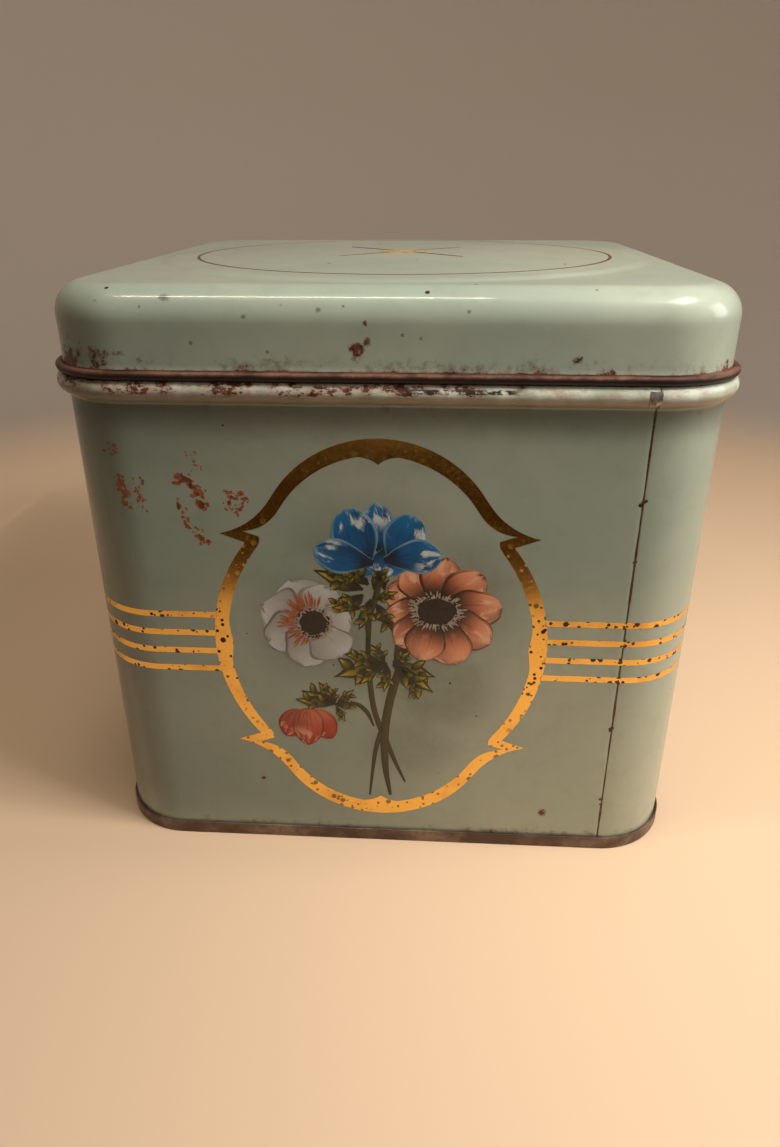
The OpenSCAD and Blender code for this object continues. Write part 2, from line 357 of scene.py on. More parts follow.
def bead_look(name):
    """The stop bead: its paint painted paler than the wall's as a highlight and darker underneath as
    painted shade, chipped along its crest, with rust in the chips.
    """
    look = Look(name)
    x, y, _ = look.xyz()
    height = look.height_mm()
    # painted highlight: the bead's paint is made paler and creamier than the wall's paint
    colour = look.mix(look.fade(look.noise(12, 4), 0.35, 0.7), PAINT_PALE, BEAD_HIGHLIGHT_CREAM)
    chips = look.noise(2.6, 7, 0.74, look.stretched(0.7, 0.7, 1.2))
    runs = look.fade(look.noise(15, 3), 0.34, 0.62)
    crest = look.fade(height, BEAD_Z - 3.4, BEAD_Z + 0.5)
    worn_side = look.fade(x, 0.09, 0.0)
    wanted = look.times(look.blend(runs, 0.24, 0.39), look.blend(worn_side, 0.62, 1.08))
    wanted = look.times(wanted, crest)
    edge = look.minus(look.plus(chips, wanted), 0.86)
    rust = look.fade(edge, 0.0, 0.08)
    halo = look.times(look.fade(edge, -0.2, 0.02), 0.55)
    # painted shade: the bead's lower side turns darker and browner, as the shade under it
    under = look.fade(look.plus(height, look.noise(7, 3)), BEAD_Z + 0.6, BEAD_Z - 1.4)
    colour = look.mix(look.times(under, 0.75), colour, BEAD_UNDERSIDE_SHADE)
    colour = look.mix(halo, colour, BEAD_HALO)
    colour = look.mix(rust, colour, look.rust_colour())
    scrape = look.times(look.fade(x, 0.002, 0.008), look.fade(x, 0.046, 0.040))
    scrape = look.times(scrape, look.fade(y, -0.1, -0.11))
    off_line = look.unsigned(look.minus(height, BEAD_Z + 1.3))
    scrape = look.times(scrape, look.fade(off_line, 1.0, 0.5))
    scrape = look.times(scrape, look.fade(chips, 0.4, 0.5))
    colour = look.mix(scrape, colour, BEAD_SCRAPE)
    # painted shade: a dark line along the top of the bead, in the gap under the lid's roll
    gap = look.fade(height, BEAD_Z + BEAD_R - 0.75, BEAD_Z + BEAD_R - 0.3)
    colour = look.mix(gap, colour, GAP_SHADE)
    look.surface(Base_Color=colour, Roughness=look.blend(rust, 0.34, 0.85),
                 Coat_Weight=0.25, Coat_Roughness=0.2)
    look.bump(look.minus(1.0, rust), 0.12, 0.5)
    return look.material


def gold_look(name):
    """Bronze ink printed on tinplate, rubbed, with rust pricks coming through. The mesh
    says how busy the pricks are."""
    look = Look(name)
    rubbed = look.fade(look.noise(14, 5, 0.65), 0.45, 0.75)
    colour = look.mix(look.times(rubbed, 0.6), GOLD, GOLD_WORN)
    grain = look.noise(1.5, 5, 0.7)
    pricks = look.larger(look.specks(2.1, 0.85, 0.36), look.specks(3.7, 0.7, 0.34))
    rust = look.times(pricks, look.attribute("busy"))
    colour = look.mix(rust, colour, RUST_DARK)
    look.surface(Base_Color=colour, Metallic=look.blend(rust, 1.0, 0.0),
                 Roughness=look.blend(rust, look.blend(grain, 0.1, 0.24), 0.85))
    look.bump(look.plus(grain, rust), 0.012, 0.4)
    return look.material


def petal_look(name, heart, body, tip, streak, edge, flush, light=None):
    """A printed petal, with its heart's colour up to flush. The mesh says how far along and
    across the petal a point is."""
    look = Look(name)
    along, across, seed = look.xyz(look.attribute("petal", "Vector"))

    def brushwork(on_along, on_across, scale, roughness):
        place = look.new("CombineXYZ", {
            0: look.times(along, on_along), 1: look.times(across, on_across), 2: seed})
        return look.new("TexNoise", {
            "Vector": place, "Scale": scale, "Detail": 5, "Roughness": roughness})

    colour = look.mix(look.fade(along, 0.35 * flush, flush), heart, body)
    colour = look.mix(look.fade(along, 0.5, 1.0), colour, tip)
    brushed = brushwork(1.4, 6.0, 1.0, 0.7)
    veins = look.times(look.fade(brushed, 0.5, 0.66), look.fade(along, 1.1, 0.2))
    colour = look.mix(look.times(veins, 0.7), colour, streak)
    shade = look.times(look.fade(look.plus(across, brushed), 0.9, -0.7), 0.62)
    colour = look.mix(shade, colour, streak)
    if light is not None:
        patch = brushwork(1.1, 0.8, 2.2, 0.65)
        bright = look.times(look.fade(patch, 0.5, 0.63), look.fade(along, 0.4, 0.72))
        colour = look.mix(bright, colour, light)
    ragged = look.times(brushed, 0.16)
    rim = look.larger(look.fade(look.plus(look.unsigned(across), ragged), 0.88, 1.04),
                      look.fade(look.plus(along, ragged), 0.99, 1.07))
    broken = look.blend(look.fade(brushed, 0.42, 0.6), 0.35, 0.95)
    colour = look.mix(look.times(rim, broken), colour, edge)
    look.surface(Base_Color=colour, Roughness=look.blend(brushed, 0.3, 0.5),
                 Coat_Weight=0.3, Coat_Roughness=0.18)
    look.bump(brushed, 0.02, 0.4)
    return look.material


def ink_look(name, colour_a, colour_b, size_mm):
    """Flat printed colour with the mottle of old ink."""
    look = Look(name)
    grain = look.noise(size_mm, 5, 0.7)
    look.surface(Base_Color=look.mix(look.fade(grain, 0.38, 0.62), colour_a, colour_b),
                 Roughness=look.blend(grain, 0.3, 0.55), Coat_Weight=0.25, Coat_Roughness=0.2)
    look.bump(grain, 0.02, 0.4)
    return look.material


def metal_look(name, bright, dark, roughness):
    """Soft solder or steel wire, with a tarnished skin."""
    look = Look(name)
    grain = look.noise(2.5, 6, 0.7)
    look.surface(Base_Color=look.mix(look.fade(grain, 0.42, 0.66), bright, dark), Metallic=0.9,
                 Roughness=look.blend(grain, roughness - 0.1, roughness + 0.2))
    look.bump(grain, 0.08, 0.6)
    return look.material


# ---------------------------------------------------------------- the plan of the tin


def turned(points, face):
    """Points made for the front face, turned to face number 0 to 3, anticlockwise."""
    cos, sin = [(1, 0), (0, 1), (-1, 0), (0, -1)][face % 4]
    x, y, z = points[..., 0], points[..., 1], points[..., 2]
    return np.stack([x * cos - y * sin, x * sin + y * cos, z], -1)


def panel_wave(along, height):
    """How far the flat of a side has sunk in, which fades out at its edges."""
    flat_top = BEAD_Z - BEAD_R - 2
    rise = np.clip((height - FOOT_H) / (flat_top - FOOT_H), 0, 1)
    window = np.clip(1 - (along / FLAT_HALF) ** 2, 0, 1) ** 1.5 * np.sin(np.pi * rise) ** 0.8
    swell = 0.6 + 0.25 * np.sin(along / 31 + height / 47) + 0.15 * np.sin(along / 17 - height / 23)
    return PANEL_WAVE * window * swell


def round_the_wall(face, along, height, out):
    """Points at distance along from the middle of a face, going round the corners, at a
    height and a distance out from the wall. All are arrays or numbers, in millimetres."""
    along, height, out = np.broadcast_arrays(
        np.asarray(along, float), np.asarray(height, float), np.asarray(out, float))
    turns = np.floor((along + FLAT_HALF) / QUARTER).astype(int)
    local = along - turns * QUARTER
    past = np.clip(local - FLAT_HALF, 0, None)
    angle = past / CORNER_R
    sunk = np.where(past > 0, 0, panel_wave(local, height))
    reach = CORNER_R + out - sunk
    x = np.where(past > 0, FLAT_HALF + reach * np.sin(angle), local)
    y = -FLAT_HALF - np.where(past > 0, reach * np.cos(angle), reach)
    points = np.stack([x, y, height], -1)
    result = np.zeros_like(points)
    for face_turn in range(4):
        chosen = (turns + face) % 4 == face_turn
        result[chosen] = turned(points, face_turn)[chosen]
    return result


def columns(start, end):
    """Distances along the wall from start to end: even on the flats, finer in corners."""
    stops = {start, end}
    for turn in range(-4, 5):
        middle = turn * QUARTER
        for step in range(FLAT_STEPS + 1):
            stops.add(middle - FLAT_HALF + 2 * FLAT_HALF * step / FLAT_STEPS)
        for step in range(1, CORNER_STEPS):
            stops.add(middle + FLAT_HALF + CORNER_RUN * step / CORNER_STEPS)
    inside = sorted(s for s in stops if start <= s <= end)
    kept = [inside[0]]
    for s in inside[1:]:
        if s - kept[-1] > CLOSEST:
            kept.append(s)
    kept[-1] = end
    return np.array(kept)


def arc(centre, radius, start, end, steps):
    """Points on an arc, with angles in degrees, as (x, z) pairs."""
    return [(centre[0] + radius * math.cos(math.radians(a)),
             centre[1] + radius * math.sin(math.radians(a)))
            for a in np.linspace(start, end, steps + 1)]


def straight(start, end, steps):
    """Points on a straight line."""
    (x0, z0), (x1, z1) = start, end
    return [(x0 + (x1 - x0) * i / steps, z0 + (z1 - z0) * i / steps) for i in range(steps + 1)]


def heights(low, high, steps):
    """Even heights from low to high, without the first."""
    return [z for _, z in straight((0, low), (0, high), steps)[1:]]


def joined(*runs):
    """One outline from several runs of points, without the doubled ends."""
    outline = []
    for run in runs:
        for point in run:
            if not outline or math.dist(outline[-1], point) > 1e-4:
                outline.append(point)
    if math.dist(outline[0], outline[-1]) < 1e-4:
        outline.pop()
    return outline


# ---------------------------------------------------------------- meshes


def mesh_object(name, points_mm, faces, materials, face_material=None, smooth_angle=35):
    """A mesh from points in millimetres, smooth but for its edges past an angle."""
    mesh = bpy.data.meshes.new(name)
    mesh.from_pydata((np.asarray(points_mm) * MM).tolist(), [], [tuple(f) for f in faces])
    for material in materials:
        mesh.materials.append(material)
    if face_material is not None:
        mesh.polygons.foreach_set("material_index", np.asarray(face_material, np.int32))
    mesh.polygons.foreach_set("use_smooth", np.ones(len(mesh.polygons), bool))
    mesh.set_sharp_from_angle(angle=math.radians(smooth_angle))
    mesh.update()
    made = bpy.data.objects.new(name, mesh)
    bpy.context.scene.collection.objects.link(made)
    return made


def point_attribute(obj, name, values, kind="FLOAT"):
    made = obj.data.attributes.new(name, kind, "POINT")
    values = np.asarray(values, np.float32)
    made.data.foreach_set("vector" if kind == "FLOAT_VECTOR" else "value", values.ravel())


def grid_faces(rows, cols, wrap_rows=False, wrap_cols=False):
    """Four-sided faces of a grid of points, which may close round on itself."""
    faces = []
    for r in range(rows if wrap_rows else rows - 1):
        for c in range(cols if wrap_cols else cols - 1):
            r2, c2 = (r + 1) % rows, (c + 1) % cols
            faces.append((r * cols + c, r * cols + c2, r2 * cols + c2, r2 * cols + c))
    return faces


def place_piece(obj, body, slot, *nodes):
    """Puts a piece on its body, in place of the CAD nodes it shows. The slot argument is not used."""
    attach(obj, body)
    if nodes:
        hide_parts(*nodes)


# ---------------------------------------------------------------- wall sheets

CARTOUCHE_SHIFT = -3.3            # the print sits this far left of the middle of its face
CARTOUCHE_Z = 95.2
CLOUDS = [                        # airbrushed shade: x, z, width, height, darkness
    (2, 8, 50, 30, 0.34), (-26, 8, 25, 25, 0.30), (26, 18, 29, 28, 0.38),
    (22, -18, 24, 22, 0.42), (12, -46, 20, 17, 0.30), (-4, 44, 28, 18, 0.26)]
WALL_FOOT = FOOT_H - 1.5          # the wall's skin starts here, inside the double seam
EDGE_R = 0.45                     # radius of a sheet's edge at its seam
SEAM_GAP = 0.06                   # from the middle of a seam to either edge


def haze_at(across, up):
    """Shade round the bouquet, at a place from the middle of the cartouche."""
    total = np.zeros_like(across)
    for x, z, wide, high, dark in CLOUDS:
        far = ((across - x) / wide) ** 2 + ((up - z) / high) ** 2
        total = np.maximum(total, dark * np.clip(1.25 - far, 0, 1))
    return total


def wall_outline():
    """The wall sheet from inside the foot seam, up the outside, over the hem and down."""
    hem_in = -3 * SHEET_T
    bead_start = -math.degrees(math.acos(BEAD_FILLET / (BEAD_R + BEAD_FILLET)))
    fillet_end = 180 + bead_start
    outside = joined(
        straight((0, WALL_FOOT), (0, BEAD_Z - BEAD_FOOT), 64),
        arc((BEAD_FILLET, BEAD_Z - BEAD_FOOT), BEAD_FILLET, 180, fillet_end, 5))
    bead = arc((0, BEAD_Z), BEAD_R, bead_start, 90, 16)
    neck = joined(
        straight((0, BEAD_Z + BEAD_R), (0, NECK_Z - FOLD_R), 8),
        arc((-FOLD_R, NECK_Z - FOLD_R), FOLD_R, 0, 90, 4),
        arc((hem_in + FOLD_R, NECK_Z - FOLD_R), FOLD_R, 90, 180, 4))
    inside = joined(
        straight((hem_in, NECK_Z - FOLD_R), (hem_in, NECK_Z - HEM_H), 2),
        straight((-SHEET_T, NECK_Z - HEM_H), (-SHEET_T, BEAD_Z + BEAD_R), 3),
        arc((0, BEAD_Z), BEAD_R - SHEET_T, 90, bead_start, 8),
        straight((-SHEET_T, BEAD_Z - BEAD_FOOT), (-SHEET_T, WALL_FOOT), 20))
    return outside, bead, neck, inside


def seam_edge(at, sign):
    """A sheet's rounded edge at a seam, as (distance along, distance out) pairs."""
    return [(at + sign * EDGE_R * (1 - math.sin(a)), -EDGE_R * (1 - math.cos(a)))
            for a in np.radians([30, 60, 90])]


def wall_sheet(name, first_face, materials, node):
    """One sheet, from its front seam round two corners to its back seam."""
    outside, bead, neck, inside = wall_outline()
    outline = np.array(joined(outside, bead, neck, inside))
    start = SEAM_X + SEAM_GAP
    end = SEAM_X + 2 * QUARTER - SEAM_GAP
    body = [(x, 0) for x in columns(start + EDGE_R, end - EDGE_R)]
    plan = np.array(seam_edge(start, 1)[::-1] + body + seam_edge(end, -1))
    along, sink = plan[:, 0], plan[:, 1]
    grid_along, grid_z = np.meshgrid(along, outline[:, 1])
    points = round_the_wall(first_face, grid_along, grid_z, outline[:, :1] + sink)
    rows, cols = grid_z.shape
    faces = grid_faces(rows, cols, wrap_rows=True)
    faces.append(tuple(r * cols for r in range(rows)))
    faces.append(tuple(r * cols + cols - 1 for r in reversed(range(rows))))
    top_of_wall = len(outside) - 1
    top_of_bead = top_of_wall + len(bead) - 1
    top_of_neck = top_of_bead + len(neck)
    kind = np.full(rows, 2)
    kind[:top_of_bead] = 1
    kind[:top_of_wall] = 0
    kinds = np.append(np.repeat(kind, cols - 1), [2, 2])
    sheet = mesh_object(name, points.reshape(-1, 3), faces, materials, kinds)
    local = (grid_along + FLAT_HALF) % QUARTER - FLAT_HALF
    haze = haze_at(local - CARTOUCHE_SHIFT, grid_z - CARTOUCHE_Z)
    haze[top_of_neck:] = 0
    point_attribute(sheet, "haze", haze.ravel())
    place_piece(sheet, "tin_body", "printed_tinplate", node)


# ---------------------------------------------------------------- loops of a rounded square


def square_loop(half, radius):
    """(x, y) points round a rounded square, one for each mesh column of the whole way."""
    points = []
    flat = half - radius
    for face in range(4):
        side = [(flat * (2 * step / FLAT_STEPS - 1), -half) for step in range(FLAT_STEPS)]
        turn = [(flat + radius * math.sin(a), -flat - radius * math.cos(a))
                for a in np.linspace(0, math.pi / 2, CORNER_STEPS + 1)[:-1]]
        loop = np.array([(x, y, 0) for x, y in side + turn])
        points.append(turned(loop, face)[:, :2])
    return np.concatenate(points)


def circle_loop(radius, like):
    """Points of a circle in the same directions as the points of another loop."""
    return like / np.linalg.norm(like, axis=1)[:, None] * radius


def around(x, z):
    """A loop round the tin at a distance x out from the wall, with its height."""
    return square_loop(HALF_W + x, CORNER_R + x), z


def loops_to_mesh(name, loops, materials, bands, smooth_angle):
    """A closed skin through (xy, z) loops, whose first and last close to a point. bands has
    the material of each band between two loops."""
    cols = len(loops[0][0])
    points = [np.column_stack([xy, np.broadcast_to(z, cols)]) for xy, z in loops]
    points += [[[0, 0, np.mean(loops[0][1])]], [[0, 0, np.mean(loops[-1][1])]]]
    faces = grid_faces(len(loops), cols, wrap_cols=True)
    top = (len(loops) - 1) * cols
    first = top + cols
    last = first + 1
    for c in range(cols):
        after = (c + 1) % cols
        faces.append((first, after, c))
        faces.append((last, top + c, top + after))
    kinds = np.append(np.repeat(bands, cols), [bands[0], bands[-1]] * cols)
    return mesh_object(name, np.concatenate(points), faces, materials, kinds, smooth_angle)


# ---------------------------------------------------------------- base with its double seam


def base_and_foot(materials):
    """Panel underside, double seam and panel top as one skin."""
    steel, tin = 0, 1
    outer = 3 * LAYER
    inner = -SHEET_T - LAYER
    step = HALF_W - STEP_INSET
    panel = [(18, 6, 1), (45, 18, 1),                             # half width, corner, rise
             (step - 3, STEP_CORNER_R, 1), (step - 0.5, STEP_CORNER_R, 1),
             (step, STEP_CORNER_R, 0.85), (step + 0.5, STEP_CORNER_R, 0.15),
             (step + 1, STEP_CORNER_R, 0), (HALF_W - 8, CORNER_R - 8, 0),
             (HALF_W + inner - 1, CORNER_R + inner - 1, 0)]
    upper = PANEL_Z + SHEET_T
    below, above = ([(square_loop(half, radius), z + rise * STEP_RISE) for half, radius, rise in panel]
                    for z in (PANEL_Z, upper))
    rim_r = 0.37                                                  # the seam's edge at the wall
    seam = [(inner, PANEL_Z - 0.6)]
    seam += arc((inner + FOLD_R, FOLD_R), FOLD_R, 180, 270, 4)
    seam += arc((outer - FOLD_R, FOLD_R), FOLD_R, 270, 360, 4)
    seam += [(outer, 1.6), (outer - 0.05, 2.7), (outer, 3.9)]     # pressed in a little
    seam += arc((outer - FOLD_R, FOOT_H - FOLD_R), FOLD_R, 0, 90, 4)
    seam += arc((SHEET_T, FOOT_H - rim_r), rim_r, 90, 180, 4)
    seam += [(0.03, upper + 0.1)]
    loops = below + [around(inner + 0.05, PANEL_Z - 0.25)]
    bands = [tin] * len(loops) + [steel] * len(seam) + [tin] * len(above)
    loops += [around(x, z) for x, z in seam] + [around(-SHEET_T, upper)] + above[::-1]
    made = loops_to_mesh("base_and_foot", loops, materials, bands, 50)
    place_piece(made, "tin_body", "bare_tinplate", "base_panel")


# ---------------------------------------------------------------- lid

DISC_IN, DISC_OUT = DISC_R - STEP_W / 2, DISC_R + STEP_W / 2
LID_RINGS = [3, 8, 16, 26, 38, 50, 62, 74, 84, 92]     # mesh rings inside the disc's step


def lid_rise(r):
    """Height of the lid's top above its margin, at r from the middle."""
    t = np.clip((DISC_OUT - r) / STEP_W, 0, 1)
    step = DISC_RISE * t * t * (3 - 2 * t)
    return step + CROWN_H * np.clip(1 - (r / DISC_IN) ** 2, 0, 1)


def lid_height(xy):
    """Height of the lid's top, which is slightly out of true within the disc."""
    r = np.linalg.norm(xy, axis=-1)
    ripple = 0.07 * np.sin(xy[..., 0] / 19 + 1) * np.sin(xy[..., 1] / 23 + 2)
    fade = np.clip((DISC_R - r) / 40, 0, 1)
    return LID_TOP_Z + lid_rise(r) - (0.07 + ripple) * fade


def lid_shell(materials):
    """Stamped top, shoulder, skirt and roll outside, then the same inside."""
    paint, roll_metal, tin = 0, 1, 2
    margin = HALF_W + SKIRT_OUT - SHOULDER_R
    edge = square_loop(margin, margin - FLAT_HALF)
    skirt_top = LID_TOP_Z - SHOULDER_R
    sink = 0.12                                       # the skirt is that hollow half-way down

    def top(below):
        """Loops of the stamped top, from the middle to the shoulder."""
        rings = [circle_loop(r, edge) for r in LID_RINGS + list(np.linspace(DISC_IN, DISC_OUT, 9))]
        loops = [(xy, lid_height(xy) - below) for xy in rings]
        for share in (0.25, 0.5, 0.75, 1.0):
            loops.append((rings[-1] * (1 - share) + edge * share, LID_TOP_Z - below))
        return loops

    shoulder = arc((SKIRT_OUT - SHOULDER_R, skirt_top), SHOULDER_R, 90, 0, 16)[1:]
    skirt = [(SKIRT_OUT - sink * math.sin(math.pi * (i + 1) / 8), z)
             for i, z in enumerate(heights(skirt_top, ROLL_Z + ROLL_R + 0.2, 8))]
    roll = arc((ROLL_X, ROLL_Z), ROLL_R, 130, -175, 20)
    within = [(ROLL_X - ROLL_R, ROLL_Z), (LID_GAP, ROLL_Z + 1.6)]
    within += [(LID_GAP, z) for z in heights(ROLL_Z + 1.6, skirt_top, 6)]
    within += arc((SKIRT_OUT - SHOULDER_R, skirt_top), SHOULDER_R - SHEET_T, 0, 90, 10)[1:-1]
    outside = top(0) + [around(x, z) for x, z in shoulder + skirt]
    loops = outside + [around(x, z) for x, z in roll + within] + top(SHEET_T)[::-1]
    bands = [paint] * (len(outside) - 1) + [roll_metal] * (len(roll) + 1)
    bands += [tin] * (len(loops) - len(bands) - 1)
    made = loops_to_mesh("lid_shell_skin", loops[::-1], materials, bands[::-1], 40)
    point_attribute(made, "haze", np.zeros(len(made.data.vertices)))
    place_piece(made, "lid", "lid_paint", "lid_shell")


# ---------------------------------------------------------------- printing
# A print is a set of flat outlines, thickened to a skin of ink and laid on the tin.

FACE_NAMES = ["front", "right", "back", "left"]
INK = 0.035                       # height of the first layer of ink
INK_STEP = 0.012                  # and of each layer laid over it
INK_SUNK = 0.06                   # depth of its underside in the metal


class Print:
    """Faces of one ink, each point with its lift off the metal and three numbers for the
    look: along, across and seed on a petal, or how busy the rust pricks are."""

    def __init__(self):
        self.points, self.faces, self.lift, self.data = [], [], [], []

    def add(self, xy, faces, layer, data=None):
        """Adds faces over flat points, turned so that all of them face out."""
        start = len(self.points)
        xy = np.asarray(xy, float)
        self.points += xy.tolist()
        self.lift += [INK + INK_STEP * layer] * len(xy)
        self.data += np.zeros((len(xy), 3)).tolist() if data is None else data.tolist()
        for face in faces:
            ring = xy[list(face)]
            after = np.roll(ring, -1, axis=0)
            area = np.sum(ring[:, 0] * after[:, 1] - after[:, 0] * ring[:, 1])
            face = face if area > 0 else face[::-1]
            self.faces.append(tuple(start + i for i in face))

    def grid(self, xy, layer=0, data=None, wrap=False):
        """xy is (rows, columns, 2), as is data with its three; wrap closes the rows."""
        rows, cols = xy.shape[:2]
        flat = None if data is None else data.reshape(-1, 3)
        self.add(xy.reshape(-1, 2), grid_faces(rows, cols, wrap_rows=wrap), layer, flat)

    def blob(self, x, y, size, rng, layer, points, stretch=1.0, turn=0.0, rough=0.25):
        """A small ragged spot."""
        ring = []
        for i in range(points):
            a = 2 * math.pi * i / points
            r = size * (1 + rng.uniform(-rough, rough))
            px, py = r * math.cos(a) * stretch, r * math.sin(a)
            ring.append((x + px * math.cos(turn) - py * math.sin(turn),
                         y + px * math.sin(turn) + py * math.cos(turn)))
        faces = [(points, i, (i + 1) % points) for i in range(points)]
        self.add(ring + [(x, y)], faces, layer)

    def build(self, name, where, material, body, slot):
        """where(xy, out) gives the place of flat points at a distance out from the tin."""
        xy = np.array(self.points)
        count = len(xy)
        up = where(xy, np.array(self.lift))
        down = where(xy, np.full(count, -INK_SUNK))
        edges = {(a, b): None for face in self.faces for a, b in zip(face, face[1:] + face[:1])}
        faces = list(self.faces)
        faces += [tuple(i + count for i in reversed(face)) for face in self.faces]
        faces += [(a, a + count, b + count, b) for a, b in edges if (b, a) not in edges]
        made = mesh_object(name, np.concatenate([up, down]), faces, [material], smooth_angle=60)
        data = np.tile(self.data, (2, 1))
        point_attribute(made, "petal", data, "FLOAT_VECTOR")
        point_attribute(made, "busy", data[:, 0])
        place_piece(made, body, slot)


def with_busy(xy, busy):
    """Data for a grid that is all as busy, or as busy as an array says."""
    data = np.zeros(xy.shape[:2] + (3,))
    data[..., 0] = busy
    return data


def on_wall(face, middle_x=0.0, middle_z=0.0):
    """Where a print goes on the walls, measured from the middle of a face."""
    def where(xy, out):
        return round_the_wall(face, xy[:, 0] + middle_x, xy[:, 1] + middle_z, out)
    return where


def on_lid(xy, out):
    """Where a print goes on the lid."""
    return np.column_stack([xy, lid_height(xy) + out])


def smooth_line(points, count):
    """Catmull-Rom curve through a few points."""
    p = np.array([2 * np.array(points[0]) - points[1], *points,
                  2 * np.array(points[-1]) - points[-2]], float)
    spans = len(p) - 3
    result = []
    for t in np.linspace(0, spans, count):
        i = min(int(t), spans - 1)
        s = t - i
        a, b, c, d = p[i:i + 4]
        result.append(0.5 * (2 * b + (c - a) * s + (2 * a - 5 * b + 4 * c - d) * s ** 2
                             + (3 * b - a - 3 * c + d) * s ** 3))
    return np.array(result)


def stroke(ink, points, width, layer, count, taper, seed=0.0):
    """A brush stroke through a few points, that thins to the two shares in taper."""
    line = smooth_line(points, count)
    ahead = np.gradient(line, axis=0)
    ahead /= np.linalg.norm(ahead, axis=1)[:, None]
    side = np.column_stack([-ahead[:, 1], ahead[:, 0]])
    t = np.linspace(0, 1, count)
    from_start, from_end = [share + (1 - share) * np.sin(np.pi * np.clip(near * 1.2, 0, 0.5))
                            for share, near in zip(taper, (t, 1 - t))]
    half = width / 2 * np.minimum(from_start, from_end)
    across = np.linspace(-1, 1, 5)
    xy = line[:, None] + side[:, None] * (half[:, None] * across)[..., None]
    ink.grid(xy, layer, np.stack(np.broadcast_arrays(t[:, None], across, seed), -1))


def petal(ink, base, angle, length, half, layer, seed, bend=0.0, fullness=1.35, ruffle=0.05,
          point=0.55):
    """A rounded petal from its base point, with angle in degrees. A fuller petal is widest
    further out, and a point of 1 or more ends it in a point."""
    u = np.linspace(0, 1, 22)[:, None]
    v = np.linspace(-1, 1, 13)[None, :]
    wide = half * np.clip(np.sin(np.pi * u ** fullness), 0, 1) ** point
    wide = np.maximum(wide, half * np.interp(u, [0, 0.3, 0.9, 1], [0.22, 0.3, 0.1, 0.04]))
    wavy = 1 + ruffle * np.sin(9 * u + 5 * seed)
    uneven = 0.6 * ruffle * u ** 3 * (1 - u ** 12) * np.sin(4 * v + 7 * seed)
    reach = length * (u + uneven)
    off = wide * wavy * v + bend * u ** 2
    a = math.radians(angle)
    xy = np.stack([base[0] + reach * math.cos(a) - off * math.sin(a),
                   base[1] + reach * math.sin(a) + off * math.cos(a)], -1)
    ink.grid(xy, layer, np.stack(np.broadcast_arrays(u, v, seed), -1))


# ---------------------------------------------------------------- the cartouche


def even_steps(points, count):
    """That many points, evenly spaced along a line."""
    points = np.array(points)
    gaps = np.linalg.norm(np.diff(points, axis=0), axis=1)
    place = np.concatenate([[0], np.cumsum(gaps)])
    at = np.linspace(0, place[-1], count)
    return np.column_stack([np.interp(at, place, points[:, 0]), np.interp(at, place, points[:, 1])])


def band_run(outer_run, inner_run, count):
    """One matching stretch of the band's two edges, as (count, 2 edges, 2)."""
    return np.stack([even_steps(outer_run, count), even_steps(inner_run, count)], 1)


SIDE_R, SIDE_SHIFT = 67.6, -4.3               # the cartouche's side lobes


def cartouche(ink):
    """A band of four curved lobes that meet in zigzag spikes, from one quarter of it."""
    top = band_run(arc((0, 37.5), 44, 90, 34.4, 20),
                   arc((6.8, 64.6), 10.2, 132, 96, 4) + arc((0, 34.5), 41, 80, 32, 16), 28)
    flare = band_run([top[-1, 0]] + arc((63.9, 74.4), 29.6, 214.4, 258, 12),
                     [top[-1, 1]] + arc((50.5, 63.6), 17.2, 210, 266, 10), 14)
    spike = band_run([flare[-1, 0], (48.6, 42.1)], [flare[-1, 1], (43.2, 44.4)], 4)
    side = band_run([spike[-1, 0]] + arc((SIDE_SHIFT, 0), SIDE_R, 38, 0, 14)[1:],
                    [spike[-1, 1]] + arc((-8.6, 0), 66.6, 41, 8, 14)[1:]
                    + [(56.9, 4), (56.3, 0)], 24)
    quarter = np.concatenate([top, flare[1:], spike[1:], side[1:]])
    right = np.concatenate([quarter, (quarter * [1, -1])[::-1][1:]])
    whole = np.concatenate([right, (right * [-1, 1])[::-1][1:-1]])
    shares = np.linspace(0, 1, 4)[None, :, None]
    band = whole[:, :1] * (1 - shares) + whole[:, 1:] * shares
    height = band[..., 1]
    busy = 0.06 + 0.94 * np.clip(1.3 - np.abs(height) / 34, 0, 1)
    busy = np.maximum(busy, np.where(height < -40, 0.55, 0))
    ink.grid(band, 0, with_busy(band, busy), wrap=True)


LINE_HEIGHTS = [11.8, 3.9, -4.0, -11.9]       # from the middle of the cartouche
LINE_W = 2.5
LINE_LAP = 0.6                                # overlap of a line with the cartouche


def gold_lines(ink):
    """Four lines from one cartouche, round the corner, to the next face's cartouche."""
    for height in LINE_HEIGHTS:
        side = math.sqrt(SIDE_R ** 2 - height ** 2) + SIDE_SHIFT - LINE_LAP
        stops = columns(CARTOUCHE_SHIFT + side, QUARTER + CARTOUCHE_SHIFT - side)
        rows = np.array([-0.5, 0.5]) * LINE_W + height + CARTOUCHE_Z
        xy = np.stack(np.meshgrid(stops, rows), -1)
        ink.grid(xy, 0, with_busy(xy, 0.95))


# ---------------------------------------------------------------- the bouquet
# A generic bunch of anemones. Places are from the middle of the cartouche.


